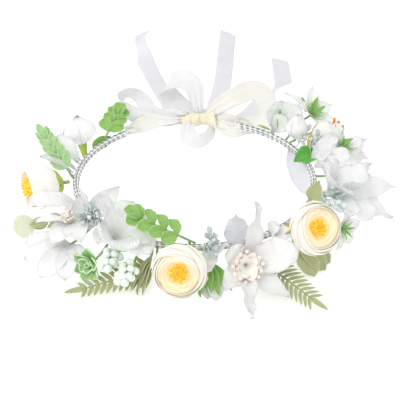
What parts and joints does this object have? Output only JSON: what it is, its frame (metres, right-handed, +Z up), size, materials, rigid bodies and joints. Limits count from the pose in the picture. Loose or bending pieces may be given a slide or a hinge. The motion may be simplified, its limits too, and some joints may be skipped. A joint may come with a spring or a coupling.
{
  "type": "flower crown",
  "caption": "Open wire hoop for the head, bound in white tape and dressed with cloth blooms, berries and leaves, closed by a satin ribbon bow with loose tails.",
  "frame": {"origin": "centre of the head ring at mid-height of the wrapped band", "axes": "+Z up out of the top of the head, +Y back towards the bow, -Y over the wearer's forehead, +X to the right seen from the front"},
  "size_m": [0.2753, 0.4922, 0.0638],
  "materials": {
    "wire": "satin white enamel",
    "stem_green": "matt dark green paper-covered wire",
    "tape": "matt floral tape wound in turns",
    "satin": "cream satin",
    "tail_satin": "satin, cool white side",
    "ivory_petal": "matt silk cloth, peach at the edges",
    "eye_yellow": "flocked",
    "stamen_orange": "matt",
    "stamen_pink": "pearled tips",
    "calyx_green": "matt moulded",
    "ochre_leaf": "matt",
    "white_petal": "matt silk cloth with pressed veins",
    "organza": "sheer woven",
    "fresh_green": "satin moulded, pale edges",
    "berry": "pearly",
    "olive": "matt flocked",
    "sage": "dusty"
  },
  "bodies": {
    "root": {"hoop_wires": "wire", "stem_wires": "stem_green", "tape_wrap": "tape", "end_loop_left": "wire", "end_loop_right": "wire", "ribbon_span_left": "satin", "ribbon_span_right": "satin", "bow_knot": "satin", "bow_loop_left": "satin", "bow_loop_centre": "satin", "bow_loop_right": "satin", "bow_loop_low_centre": "satin", "bow_loop_low_right": "satin", "magnolia_left_petals": "white_petal", "magnolia_left_stamens": "stamen_pink", "bud_back_petals": "white_petal", "cup_back_petals": "ivory_petal", "cup_back_stamens": "stamen_orange", "cup_back_calyx": "ochre_leaf", "lily_back": "white_petal", "lily_right": "white_petal", "blossom_right": "white_petal", "lily_low_right": "white_petal", "lily_low_left": "white_petal", "organza_right": "organza", "organza_left": "organza", "organza_back": "organza", "succulent_rosette": "fresh_green", "berries_upper": "berry", "berries_lower": "berry", "mint_sprig": "fresh_green", "green_sprig_back": "fresh_green", "leaf_band_right": "fresh_green", "olive_leaf_right": "olive", "leaves_low_right": "olive", "sage_sprays": "sage", "berry_sprig_right": "berry", "cluster_front": "fresh_green"},
    "front_ranunculus": {"ranunculus_front_petals": "ivory_petal", "ranunculus_front_eye": "eye_yellow", "ranunculus_front_calyx": "calyx_green"},
    "right_ranunculus": {"ranunculus_right_petals": "ivory_petal", "ranunculus_right_eye": "eye_yellow", "ranunculus_right_calyx": "calyx_green"},
    "left_ranunculus": {"ranunculus_left_petals": "ivory_petal", "ranunculus_left_eye": "eye_yellow", "ranunculus_left_calyx": "calyx_green"},
    "front_magnolia": {"magnolia_front_petals": "white_petal", "magnolia_front_stamens": "stamen_pink", "magnolia_front_stem": "stem_green"},
    "left_bud": {"bud_left_petals": "white_petal", "bud_left_calyx": "calyx_green"},
    "left_fern": {"fern_left": "olive"},
    "right_fern": {"fern_right": "olive"},
    "eucalyptus": {"eucalyptus_sprig": "fresh_green"},
    "left_olive_sprig": {"olive_sprig_left": "olive"},
    "left_tail": {"tail_left": "tail_satin"},
    "centre_tail": {"tail_centre": "tail_satin"},
    "right_tail": {"tail_right": "tail_satin"}
  },
  "joints": [
    {"name": "front_ranunculus_bend", "type": "hinge", "parent": "root", "child": "front_ranunculus", "pos_m": [-0.00993, -0.09448, -0.003], "axis": [-0.9945, 0.1045, 0], "range_deg": [-8, 10]},
    {"name": "right_ranunculus_bend", "type": "hinge", "parent": "root", "child": "right_ranunculus", "pos_m": [0.0706, -0.06357, 0.002], "axis": [-0.6691, -0.7431, 0], "range_deg": [-6, 8]},
    {"name": "left_ranunculus_bend", "type": "hinge", "parent": "root", "child": "left_ranunculus", "pos_m": [-0.09464, -0.00828, 0.001], "axis": [-0.0872, 0.9962, 0], "range_deg": [-10, 12]},
    {"name": "front_magnolia_bend", "type": "hinge", "parent": "root", "child": "front_magnolia", "pos_m": [0.02939, -0.09045, -0.001], "axis": [-0.9511, -0.309, 0], "range_deg": [-6, 10]},
    {"name": "left_bud_bend", "type": "hinge", "parent": "root", "child": "left_bud", "pos_m": [-0.08465, 0.04313, -0.006], "axis": [0.454, 0.891, 0], "range_deg": [-10, 10]},
    {"name": "left_fern_bend", "type": "hinge", "parent": "root", "child": "left_fern", "pos_m": [-0.03249, -0.08927, -0.015], "axis": [-0.9397, 0.342, 0], "range_deg": [-8, 2]},
    {"name": "right_fern_bend", "type": "hinge", "parent": "root", "child": "right_fern", "pos_m": [0.04893, -0.08143, -0.011], "axis": [-0.8572, -0.515, 0], "range_deg": [-6, 4]},
    {"name": "eucalyptus_bend", "type": "hinge", "parent": "root", "child": "eucalyptus", "pos_m": [-0.00332, -0.09494, 0.009], "axis": [-0.9994, 0.0349, 0], "range_deg": [-2, 15]},
    {"name": "left_olive_sprig_bend", "type": "hinge", "parent": "root", "child": "left_olive_sprig", "pos_m": [-0.08465, -0.04313, -0.008], "axis": [-0.454, 0.891, 0], "range_deg": [-8, 6]},
    {"name": "left_tail_swing", "type": "hinge", "parent": "root", "child": "left_tail", "pos_m": [0.005, 0.0985, -0.008], "axis": [0, 0, 1], "range_deg": [0, 20]},
    {"name": "centre_tail_swing", "type": "hinge", "parent": "root", "child": "centre_tail", "pos_m": [0.005, 0.0985, -0.008], "axis": [0, 0, 1], "range_deg": [-4, 4]},
    {"name": "right_tail_swing", "type": "hinge", "parent": "root", "child": "right_tail", "pos_m": [0.005, 0.0985, -0.008], "axis": [0, 0, 1], "range_deg": [-20, 0]}
  ]
}
